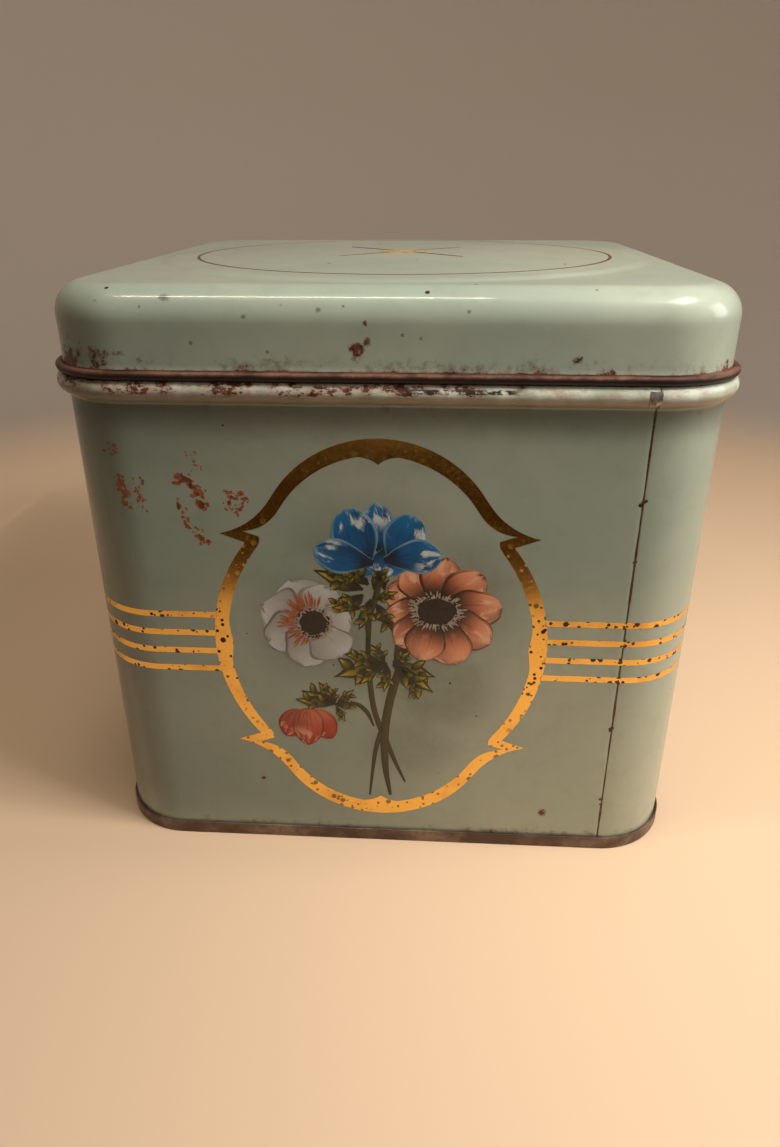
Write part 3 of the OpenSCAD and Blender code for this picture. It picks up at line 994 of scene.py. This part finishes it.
def looks_of_bouquet():
    """The inks, by short name. A petal's colours: heart, body, tip, streak, edge."""
    return {
        "blue": petal_look("petal_blue", srgb(8, 30, 48), srgb(20, 92, 146), srgb(34, 118, 172),
                           srgb(6, 44, 80), srgb(128, 170, 192), 0.4, srgb(214, 222, 220)),
        "white": petal_look("petal_white", srgb(128, 112, 98), srgb(192, 190, 184),
                            srgb(214, 214, 210), srgb(146, 142, 132), srgb(112, 106, 96), 0.42),
        "flush": ink_look("ink_flush", srgb(196, 112, 70), srgb(150, 76, 48), 1.6),
        "coral": petal_look("petal_coral", srgb(34, 16, 12), srgb(230, 138, 98), srgb(246, 172, 132),
                            srgb(78, 32, 20), srgb(26, 14, 10), 0.8, srgb(242, 190, 158)),
        "bud": petal_look("petal_bud", srgb(214, 118, 84), srgb(198, 76, 50), srgb(176, 52, 34),
                          srgb(112, 32, 24), srgb(110, 36, 26), 0.6, srgb(236, 160, 128)),
        "leaf": petal_look("leaf_green", srgb(26, 28, 12), srgb(112, 102, 30), srgb(212, 182, 52),
                           srgb(22, 24, 10), srgb(16, 18, 8), 0.5),
        "stem": petal_look("stem_green", srgb(44, 40, 18), srgb(74, 66, 26), srgb(54, 48, 20),
                           srgb(26, 24, 14), srgb(22, 20, 12), 0.3),
        "ink": ink_look("ink_black", srgb(22, 16, 14), srgb(52, 34, 28), 1.2),
        "pale": ink_look("ink_pale", srgb(190, 176, 160), srgb(150, 128, 112), 1.4),
    }


WHITE_ROOT = (-25.2, 9.6)         # where the petals meet, a little off the heart's middle
WHITE_HEART = (-25.0, 9.4)
CORAL_HEART = (21.3, 15.6)
BLUE_PETALS = [                   # base, angle, length, half width, seed and bend
    ((1, 38), 96, 20.5, 5.6, 0.13, 0), ((-4, 40), 240, 11.5, 7.0, 0.6, 0),
    ((3, 41), 268, 11.5, 7.6, 0.38, 0), ((4, 34), 62, 21.5, 8.0, 0.67, 1),
    ((-4, 33), 112, 24, 8.6, 0.83, -1), ((2, 36), 12, 21, 6.8, 0.31, -2),
    ((-2, 35), 172, 22, 6.6, 0.52, -1.5)]
BUD_PETALS = [
    ((-31.5, -30.5), 246, 14.5, 6.4, 0.42, -1.0), ((-26.5, -30), 292, 15.5, 6.2, 0.71, 1.0),
    ((-28.8, -29.5), 268, 18, 6.6, 0.16, 0)]
WHITE_PETALS = [                  # angle, length and half width
    (112, 19.5, 10.4), (158, 20.5, 9.8), (62, 16.5, 9.0), (205, 20, 9.4), (255, 20, 9.6),
    (350, 14.5, 9.4), (302, 18, 8.8)]
CORAL_PETALS = [
    (152, 21, 7.4), (118, 22.5, 7.8), (80, 22.5, 8.4), (40, 23, 8.2), (188, 19.5, 7.0),
    (4, 24.5, 8.6), (-34, 24.5, 8.4), (222, 21, 7.2), (-72, 24, 8.6), (252, 22, 7.6)]


def petals(ink, parts, fullness=1.35, ruffle=0.05):
    """Petals one over the other."""
    for layer, (base, angle, length, half, seed, bend) in enumerate(parts):
        petal(ink, base, angle, length, half, layer, seed, bend, fullness, ruffle)


def petal_ring(ink, root, parts, seed, seed_step, bend, ruffle):
    """Petals one over the other round a flower's heart."""
    for layer, (angle, length, half) in enumerate(parts):
        petal(ink, root, angle, length, half, layer, seed + seed_step * layer, bend, 1.3, ruffle)


def ray(heart, a, near, far, tilt=1.0):
    """Three points out from a heart at angle a, foreshortened by tilt."""
    return [(heart[0] + r * math.cos(a), heart[1] + r * math.sin(a) * tilt)
            for r in (near, (near + far) / 2, far)]


def flower_heart(pale, dark, heart, tilt, size, rng):
    """A pale fringe, a dark eye and a ring of stamens, foreshortened by tilt."""
    x, z = heart
    hairs, stamens = 52, 56
    for i in range(hairs):
        a = 2 * math.pi * (i + rng.uniform(-0.3, 0.3)) / hairs
        hair = ray(heart, a, size * 0.75, size * rng.uniform(1.25, 1.6), tilt)
        stroke(pale, hair, 0.8, 13, 5, (0.8, 0.3))
    dark.blob(x, z, size * tilt, rng, 15, 24, 1 / tilt, 0.0, 0.07)
    for _ in range(stamens):
        a = rng.uniform(0, 2 * math.pi)
        r = size * rng.uniform(0.95, 1.3)
        dark.blob(x + r * math.cos(a), z + r * math.sin(a) * tilt, rng.uniform(0.25, 0.5), rng, 16, 6)


def flush_marks(ink, rng):
    """Red brushwork round the left of the white flower's eye."""
    for angle in range(75, 75 + 26 * 7, 7):
        a = math.radians(angle + rng.uniform(-2.5, 2.5))
        mark = ray(WHITE_HEART, a, rng.uniform(5.4, 7.5), rng.uniform(9.5, 14.5))
        stroke(ink, mark, rng.uniform(0.5, 1.1), 12, 6, (0.7, 0.1))


def stems(ink):
    """Each stem's line and width."""
    runs = [([(-3.7, 12.5), (-4.5, -4), (-3.4, -22), (-1.5, -33), (2, -43), (5.8, -54),
              (10.1, -64.6)], 2.3),
            ([(9, 8), (8, -8), (5, -22), (1.5, -36), (-2, -49), (-4.6, -72)], 2.3),
            ([(12, 2), (7, -12), (3.6, -26), (1.8, -40), (2, -57), (4.0, -71.7)], 3.4),
            ([(-18.1, -27.5), (-10.5, -26.5), (-5.5, -30), (-2.6, -37)], 1.8),
            ([(0, 32), (-1, 22), (-4, 12), (-4.5, 2)], 2.4),
            ([(-6, 14), (3, 11), (7, 4), (6, -6)], 2.8)]
    for i, (points, width) in enumerate(runs):
        stroke(ink, points, width, i, 26, (0.75, 0.35), 0.2 * i)


def blade(ink, dark, root, angle, length, half, bend, layer, seed):
    """A pointed leaf lobe on a darker one that shows round its edges."""
    petal(dark, root, angle, length * 1.08, half * 1.45, layer, seed, bend, 0.8, 0.12, 1.0)
    petal(ink, root, angle, length, half, layer + 1, seed, bend, 0.8, 0.10, 1.1)


def leaf(ink, dark, base, angle, length, rng, layer):
    """A main lobe with three shorter ones beside it."""
    bend = rng.uniform(-2.0, 2.0)
    blade(ink, dark, base, angle, length, length * 0.13, bend, layer, rng.random())
    a = math.radians(angle)
    for i, sign in enumerate((-1, 1, -1)):
        share = 0.25 + 0.2 * i
        root = (base[0] + share * length * math.cos(a), base[1] + share * length * math.sin(a))
        blade(ink, dark, root, angle + sign * rng.uniform(32, 55), length * rng.uniform(0.3, 0.45),
              length * 0.08, 0.6 * sign, layer + 1, rng.random())


LEAVES = [                        # base, angle, length and layer of each leaf
    # under the blue flower
    ((-6, 24), 158, 18, 0), ((-4, 26), 135, 14, 1), ((-8, 20), 195, 12, 2), ((-2, 24), 75, 10, 1),
    ((2, 24), 100, 9, 2), ((-2, 20), 20, 9, 3), ((-6, 22), 225, 14, 4), ((-3, 20), 255, 13, 5),
    ((-10, 24), 120, 8, 3), ((-1, 18), 300, 12, 4), ((-7, 16), 170, 10, 6),
    # the collar on the stems
    ((3, -8), 192, 20, 6), ((0, -7), 172, 13, 7), ((2, -7), 118, 9, 8), ((5, -7), 30, 8, 8),
    ((5, -8), 345, 16, 9), ((6, -9), 318, 17, 10), ((3, -9), 264, 11, 9), ((0, -9), 222, 11, 8),
    ((12, -14), 285, 9, 11),
    # the bud's collar
    ((-18.5, -27.5), 146, 13, 6), ((-18.5, -27.5), 122, 11, 7), ((-18.5, -27), 176, 14, 8),
    ((-18, -27), 96, 8, 8), ((-17, -27), 42, 9, 9), ((-17, -28), 10, 7, 9),
    ((-17.5, -28.5), 300, 7, 9)]
BOUQUET_PIECES = {                # each print's piece name and look
    "stem": ("stems", "stem"), "leaf": ("leaves_light", "leaf"), "leaf_dark": ("leaves_dark", "stem"),
    "blue": ("blue_petals", "blue"), "white": ("white_petals", "white"),
    "coral": ("coral_petals", "coral"), "flush": ("white_flush", "flush"),
    "pale": ("stamen_fringe", "pale"), "ink": ("stamens", "ink"), "bud": ("bud_petals", "bud")}


def bouquet(face, looks):
    """All the printed flowers of one face."""
    rng = random.Random(40 + face)
    prints = {key: Print() for key in BOUQUET_PIECES}
    stems(prints["stem"])
    for base, angle, length, layer in LEAVES:
        leaf(prints["leaf"], prints["leaf_dark"], base, angle, length, rng, layer)
    petals(prints["blue"], BLUE_PETALS)
    petals(prints["bud"], BUD_PETALS, 0.85, 0.02)
    petal_ring(prints["white"], WHITE_ROOT, WHITE_PETALS, 0.1, 0.237, 0.8, 0.13)
    petal_ring(prints["coral"], CORAL_HEART, CORAL_PETALS, 0.05, 0.173, 0.6, 0.09)
    flush_marks(prints["flush"], rng)
    flower_heart(prints["pale"], prints["ink"], WHITE_HEART, 1.0, 5.2, rng)
    flower_heart(prints["pale"], prints["ink"], CORAL_HEART, 0.74, 7.4, rng)
    where = on_wall(face, CARTOUCHE_SHIFT, CARTOUCHE_Z)
    for key, (piece, look) in BOUQUET_PIECES.items():
        prints[key].build(f"{piece}_{FACE_NAMES[face]}", where, looks[look], "tin_body",
                          "printed_tinplate")


# ---------------------------------------------------------------- wear and lid prints

SEAM_RUST = [CARTOUCHE_Z + h for h in LINE_HEIGHTS] + [155.5, 133, 60, 24]     # heights
SCUFFS = [                        # both ends of each scrape, and its size
    ((-95.2, 161), (-94.2, 155), 1.9), ((-94.2, 155), (-93, 149), 1.5),
    ((-88.4, 162), (-88.1, 155), 1.2), ((-88.1, 155), (-87.8, 148), 1.0),
    ((-73.4, 162), (-70.4, 160), 1.9), ((-70.4, 160), (-65.8, 155), 2.0),
    ((-67.8, 153.5), (-64.2, 150), 1.9), ((-75.7, 153), (-72, 144), 1.5),
    ((-72, 144), (-66, 136.4), 1.7), ((-57.7, 155), (-49.7, 154.1), 1.5),
    ((-57.5, 153.5), (-54.3, 149), 1.1), ((-50.2, 153.5), (-54.3, 149), 1.1),
    ((-98, 171), (-95, 172), 1.0), ((-68.7, 170.7), (-66.9, 165), 0.7)]
RING_RADII = (87.8, 89.1)


def seam_grime(look):
    """Dirt and rust in the groove of each side seam."""
    for face in (0, 2):
        rng = random.Random(7 + face)
        ink = Print()
        z = np.linspace(FOOT_H + 0.1, BEAD_Z - BEAD_FOOT, 120)
        half = 0.3 + 0.1 * np.sin(z / 9) + 0.08 * np.sin(z / 2.7 + 1)
        edges = [np.column_stack([SEAM_X + side * half, z]) for side in (-1, 1)]
        ink.grid(np.stack(edges, 1), -2)
        for height in SEAM_RUST:
            for _ in range(4):
                ink.blob(SEAM_X + rng.uniform(-1.0, 1.0), height + rng.uniform(-1.6, 1.6),
                         rng.uniform(0.3, 0.8), rng, 1, 9)
        ink.build(f"seam_grime_{FACE_NAMES[face]}", on_wall(face), look, "tin_body",
                  "printed_tinplate")


def scuffs(look):
    """Orange scrapes in the paint at the upper left of the front, each of ragged specks."""
    rng = random.Random(3)
    ink = Print()
    for (x0, z0), (x1, z1), size in SCUFFS:
        for _ in range(15):
            t = rng.random()
            x = x0 + (x1 - x0) * t + rng.gauss(0, 1.0)
            z = z0 + (z1 - z0) * t + rng.gauss(0, 1.0)
            turn = math.atan2(z1 - z0, x1 - x0) + rng.uniform(-0.5, 0.5)
            ink.blob(x, z, size * rng.uniform(0.14, 0.5), rng, 0, 8, rng.uniform(1.0, 2.4), turn, 0.35)
    ink.build("paint_scuffs", on_wall(0), look, "tin_body", "printed_tinplate")


def lid_prints(line_look, star_look, ray_look):
    """A thin ring and a small plain star on the lid."""
    ring, star, rays = Print(), Print(), Print()
    angles = np.linspace(0, 2 * math.pi, 240, endpoint=False)[:, None]
    ring.grid(np.stack([np.cos(angles) * RING_RADII, np.sin(angles) * RING_RADII], -1), wrap=True)
    for i in range(8):
        petal(star, (0, 0), 45 * (i + 0.5), 13 if i % 2 else 9, 2.6, i, 0.1 * i)
    for i in range(4):
        a = math.pi * (i + 0.5) / 2
        ends = [(r * math.cos(a), r * math.sin(a)) for r in (6, 20, 36)]
        stroke(rays, ends, 0.9, 9, 12, (0.9, 0.1))
    for ink, name, look in ((ring, "lid_ring_line", line_look), (star, "lid_star", star_look),
                            (rays, "lid_star_rays", ray_look)):
        ink.build(name, on_lid, look, "lid", "lid_paint")


# ---------------------------------------------------------------- the object

SKIRT_Y = -HALF_W - 1
WALL_RUST = [                     # rust spots: x, y, z and radius
    (SEAM_X, -HALF_W, 155.5, 2.2), (64, -HALF_W, 17.5, 3), (-52, -HALF_W, 30, 1.8)]
LID_RUST = [
    (-9.5, SKIRT_Y, 205.5, 4.2), (-6.5, SKIRT_Y, 208.5, 2.4), (-7, SKIRT_Y, 214.5, 1.6),
    (-109, -110, 198, 15), (-96, SKIRT_Y, 197, 12), (-82, SKIRT_Y, 197, 9),
    (61, SKIRT_Y, 203.5, 2.6), (72, SKIRT_Y, 199, 4), (110, -108, 199, 6)]
LID_FLECKS = [                    # small dark spots
    (-95, -116.2, 220.8, 1.1), (-72, -115.3, 221.8, 1.9), (-22, -117.4, 218.6, 1.2),
    (-34, -116.8, 219.8, 0.9), (-46, -118.1, 216.4, 0.9), (28, -107.3, 225.3, 0.9),
    (-64, -118.3, 208, 0.9), (-39, -118.3, 205.3, 0.8), (-80, -117.2, 219.1, 0.7),
    (-14, -116.9, 219.6, 0.7), (26, -117.6, 218.2, 0.7), (5, -118.3, 211, 0.8),
    (11, -118.3, 210, 0.9), (66, -112, 224.6, 0.8), (-52, -60, 226, 1.1), (44, -82, 226, 0.9)]
ROLL_TOP = ROLL_Z + ROLL_R

wall_paint = painted_look("wall_paint", [(FOOT_H, 7, 0.34), (BEAD_Z - BEAD_FOOT, -9, 0.2)],
                          WALL_RUST)
lid_paint = painted_look("lid_paint", [(ROLL_TOP - 0.6, 2.8, 0.74), (ROLL_TOP, 9, 0.40)],
                         LID_RUST, 1.35, LID_FLECKS)
bare_tin = tin_look("bare_tin")
roll_metal = roll_look("roll_metal")
foot_metal = foot_look("foot_metal")
bead_paint = bead_look("bead_paint")
gold = gold_look("gold_ink")

wall_sheet("right_wall_skin", 0, [wall_paint, bead_paint, bare_tin], "right_wall_sheet")
wall_sheet("left_wall_skin", 2, [wall_paint, bead_paint, bare_tin], "left_wall_sheet")
base_and_foot([foot_metal, bare_tin])
lid_shell([lid_paint, roll_metal, bare_tin])

for number, side in enumerate(FACE_NAMES):
    band = Print()
    cartouche(band)
    band.build(f"cartouche_{side}", on_wall(number, CARTOUCHE_SHIFT, CARTOUCHE_Z), gold,
               "tin_body", "printed_tinplate")
    lines = Print()
    gold_lines(lines)
    lines.build(f"gold_lines_{side}", on_wall(number), gold, "tin_body", "printed_tinplate")

flower_looks = looks_of_bouquet()
for number in range(4):
    bouquet(number, flower_looks)

seam_grime(ink_look("grime", srgb(52, 32, 20), srgb(96, 60, 36), 3))
scuffs(ink_look("scuff", srgb(176, 108, 74), srgb(142, 86, 58), 1.5))
lid_prints(ink_look("lid_line", srgb(74, 46, 32), srgb(104, 72, 50), 4),
           ink_look("lid_star_ink", srgb(186, 154, 104), srgb(168, 140, 100), 3),
           ink_look("lid_ray_ink", srgb(92, 62, 42), srgb(120, 88, 62), 3))

solder_skin = metal_look("solder_skin", SOLDER, SOLDER_DARK, 0.4)
wire_skin = metal_look("wire_skin", STEEL, RUST_DARK, 0.5)
for node, skin in (("front_seam_solder", solder_skin), ("back_seam_solder", solder_skin),
                   ("lid_edge_wire", wire_skin)):
    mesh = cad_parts[node].data
    mesh.materials.clear()
    mesh.materials.append(skin)

# ---------------------------------------------------------------- studio


def bowl_floor():
    """A pale floor that curves up all round into a plain backdrop. Sizes are in metres."""
    flat, cove, top = 0.72, 0.38, 1.75
    outline = [(flat * t, 0.0) for t in (0.05, 0.3, 0.6, 0.85, 1.0)]
    outline += [(flat + cove * math.sin(a), cove - cove * math.cos(a))
                for a in np.linspace(0.1, math.pi / 2, 16)]
    outline += [(flat + cove, z) for z in (0.8, top)]
    sides = 96
    turns = [2 * math.pi * i / sides for i in range(sides)]
    points = [(r * math.cos(a), r * math.sin(a), z) for r, z in outline for a in turns] + [(0, 0, 0)]
    faces = grid_faces(len(outline), sides, wrap_cols=True)
    faces += [(len(points) - 1, i, (i + 1) % sides) for i in range(sides)]
    look = Look("floor_pale")
    away = look.new("VectorMath", {0: look.place}, output="Value", operation="LENGTH")
    look.surface(Base_Color=look.mix(look.fade(away, 0.5, 0.8), FLOOR, BACKDROP), Roughness=0.6)
    mesh_object("floor", np.array(points) / MM, faces, [look.material])


WARM, WHITE = (1.0, 0.90, 0.74), (1.0, 0.96, 0.91)
MIDDLE = (0, 0, 0.11)             # of the tin
KEY_AIM = (0.06, -0.1, 0.2)
LIGHTS = [  # name, place, aim, width, height, watts, colour, whether it shows in gloss
    ("strip", (-0.20, -0.25, 1.2), (-0.20, -0.1, 0.2), 0.58, 0.036, 2.9, WARM, True),
    ("key", (0.25, -0.185, 0.54), KEY_AIM, 0.19, 0.20, 1.75, WHITE, False),
    ("glint", (0.25, -0.185, 0.55), KEY_AIM, 0.17, 0.10, 0.55, WHITE, True),
    ("overhead", (0.12, -0.1, 1.65), MIDDLE, 0.7, 0.5, 2.8, WHITE, False),
    ("side", (1.02, -0.12, 0.5), MIDDLE, 0.4, 0.6, 3.6, WHITE, True),
    ("fill", (0.31, -0.33, 0.30), (0.11, -0.12, 0.13), 0.12, 0.12, 0.19, WHITE, False)]


def softbox(name, place, aim, width, height, power, colour, glossy):
    """A soft light at a place, turned to its aim."""
    light = bpy.data.lights.new(name, "AREA")
    light.shape = "RECTANGLE"
    light.size = width
    light.size_y = height
    light.energy = power
    light.color = colour
    made = bpy.data.objects.new(name, light)
    made.location = place
    made.rotation_euler = (Vector(aim) - Vector(place)).to_track_quat("-Z", "Y").to_euler()
    made.visible_glossy = glossy
    made.visible_camera = False
    bpy.context.scene.collection.objects.link(made)


def dark_flag(name, corners, glossy, solid_to=None):
    """A studio flag that only light sees. The far one in front darkens what the upper gold
    mirrors; the others keep the floor's light off the top of the front and off the left.
    One that ends in front of the tin thins out, to the right of solid_to."""
    look = Look(name)
    look.surface(Base_Color=FLAG_DARK, Roughness=0.9, Specular_IOR_Level=0.0)
    if solid_to is not None:
        look.surface(Alpha=look.fade(look.xyz()[0], solid_to + 0.28, solid_to))
    card = mesh_object(name, np.array(corners) / MM, [(0, 1, 2, 3)], [look.material])
    card.visible_camera = False
    card.visible_glossy = glossy
    card.visible_shadow = False
    card.visible_transmission = False


def floor_strip(near, far, right=0.9):
    """Corners of a flag just over the floor, in front of the tin."""
    left, up = -0.9, 0.004
    return [(left, far, up), (right, far, up), (right, near, up), (left, near, up)]


def dark_flags():
    """The flags in front of the tin and at its left."""
    near, middle, far = -0.255, -0.34, -1.0
    dark_flag("flag_far", floor_strip(middle, far), True)
    dark_flag("flag_near", floor_strip(near, middle), False)
    dark_flag("flag_low_left", floor_strip(-0.125, near, right=0.12), False, solid_to=-0.16)
    dark_flag("flag_left", [(middle, y, z) for y, z in
                            ((-0.7, 0.005), (0.3, 0.005), (0.3, 0.7), (-0.7, 0.7))], False)


def camera():
    """The photo's camera, from a fit to the outlines of the tin."""
    place = (0.0172, -0.3881, 0.2558)
    down, left, tilt = math.radians(25.554), math.radians(3.479), math.radians(-0.129)
    data = bpy.data.cameras.new("camera")
    data.sensor_width = 36
    data.lens = 25.856
    data.clip_start = 0.01
    made = bpy.data.objects.new("camera", data)
    turn = Matrix.Rotation(left, 4, "Z") @ Matrix.Rotation(math.pi / 2 - down, 4, "X")
    turn = turn @ Matrix.Rotation(tilt, 4, "Z")
    made.matrix_world = Matrix.Translation(place) @ turn
    bpy.context.scene.collection.objects.link(made)
    bpy.context.scene.camera = made


def room_light():
    """A faint even light from all round, and plain display colours."""
    world = bpy.data.worlds.new("world")
    world.use_nodes = True
    background = world.node_tree.nodes["Background"]
    background.inputs["Color"].default_value = ROOM_AIR
    background.inputs["Strength"].default_value = 0.04
    bpy.context.scene.world = world
    bpy.context.scene.view_settings.view_transform = "Standard"


bowl_floor()
dark_flags()
camera()
room_light()
for light in LIGHTS:
    softbox(*light)
